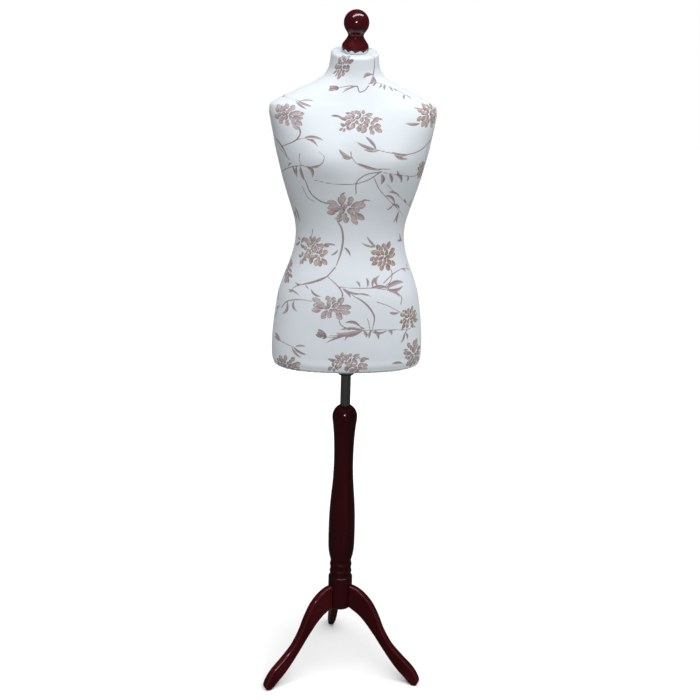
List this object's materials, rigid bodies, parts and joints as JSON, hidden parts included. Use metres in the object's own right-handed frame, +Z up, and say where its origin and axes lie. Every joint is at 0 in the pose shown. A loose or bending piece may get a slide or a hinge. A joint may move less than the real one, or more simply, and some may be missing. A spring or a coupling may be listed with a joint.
{
  "type": "dress form mannequin",
  "caption": "Female dress form with a printed jersey cover and a turned neck knob, on a steel pole in a turned wooden column with a three-legged base.",
  "frame": {"origin": "the point of the floor below the pole's axis", "axes": "+Z up along the pole, -Y towards the front of the torso, +X towards the viewer's right when facing that front; the rear leg points along +Y"},
  "size_m": [0.3884, 0.3363, 1.597],
  "materials": {
    "foam": "moulded expanded polystyrene, matte",
    "jersey": "matte knitted jersey, white with a printed floral pattern in mauve and brown",
    "jersey_hem": "matte woven elastic band",
    "plywood": "raw birch plywood",
    "flange_steel": "grey powder coat",
    "bright_steel": "zinc plated",
    "black_nylon": "moulded nylon, satin",
    "insert_brass": "machined",
    "knob_lacquer": "cherry red gloss lacquer",
    "mahogany_lacquer": "dark mahogany gloss lacquer",
    "pole_steel": "satin gunmetal",
    "pad_rubber": "matte rubber"
  },
  "bodies": {
    "stand": {"pole": "pole_steel", "pole_cap": "black_nylon", "pole_screw": "bright_steel", "column": "mahogany_lacquer", "leg_left": "mahogany_lacquer", "leg_right": "mahogany_lacquer", "leg_rear": "mahogany_lacquer", "leg_plate": "flange_steel", "plate_screws": "bright_steel", "centre_bolt": "bright_steel", "foot_pads": "pad_rubber"},
    "bush": {"guide_bush": "black_nylon"},
    "torso": {"foam_front": "foam", "foam_back": "foam", "cover_front": "jersey", "cover_back": "jersey", "hem_band": "jersey_hem", "base_board": "plywood", "base_flange": "flange_steel", "flange_screws": "bright_steel", "guide_tube": "flange_steel", "neck_block": "plywood", "neck_insert": "insert_brass"},
    "clamp_screw": {"clamp_stud": "bright_steel"},
    "clamp_head": {"clamp_knob": "black_nylon"},
    "neck_screw": {"knob_stud": "bright_steel"},
    "neck_head": {"neck_knob": "knob_lacquer"}
  },
  "joints": [
    {"name": "height", "type": "slide", "parent": "stand", "child": "bush", "axis": [0, 0, 1], "range_m": [-0.07, 0.2]},
    {"name": "swivel", "type": "hinge", "parent": "bush", "child": "torso", "pos_m": [0, 0, 0.8], "axis": [0, 0, 1], "continuous": true},
    {"name": "clamp_travel", "type": "slide", "parent": "torso", "child": "clamp_screw", "axis": [0, 1, 0], "range_m": [0, 0.0025]},
    {"name": "clamp_turn", "type": "hinge", "parent": "clamp_screw", "child": "clamp_head", "pos_m": [0, 0.044, 0.7845], "axis": [0, 1, 0], "range_deg": [0, 720]},
    {"name": "neck_travel", "type": "slide", "parent": "torso", "child": "neck_screw", "axis": [0, -0.2588, 0.9659], "range_m": [0, 0.005]},
    {"name": "neck_turn", "type": "hinge", "parent": "neck_screw", "child": "neck_head", "pos_m": [0, 0, 1.509], "axis": [0, -0.2588, 0.9659], "range_deg": [0, 1440]}
  ],
  "couplings": [
    {"joint": "clamp_travel", "follows": "clamp_turn", "m_per_rad": 0.00019894},
    {"joint": "neck_travel", "follows": "neck_turn", "m_per_rad": 0.00019894}
  ]
}
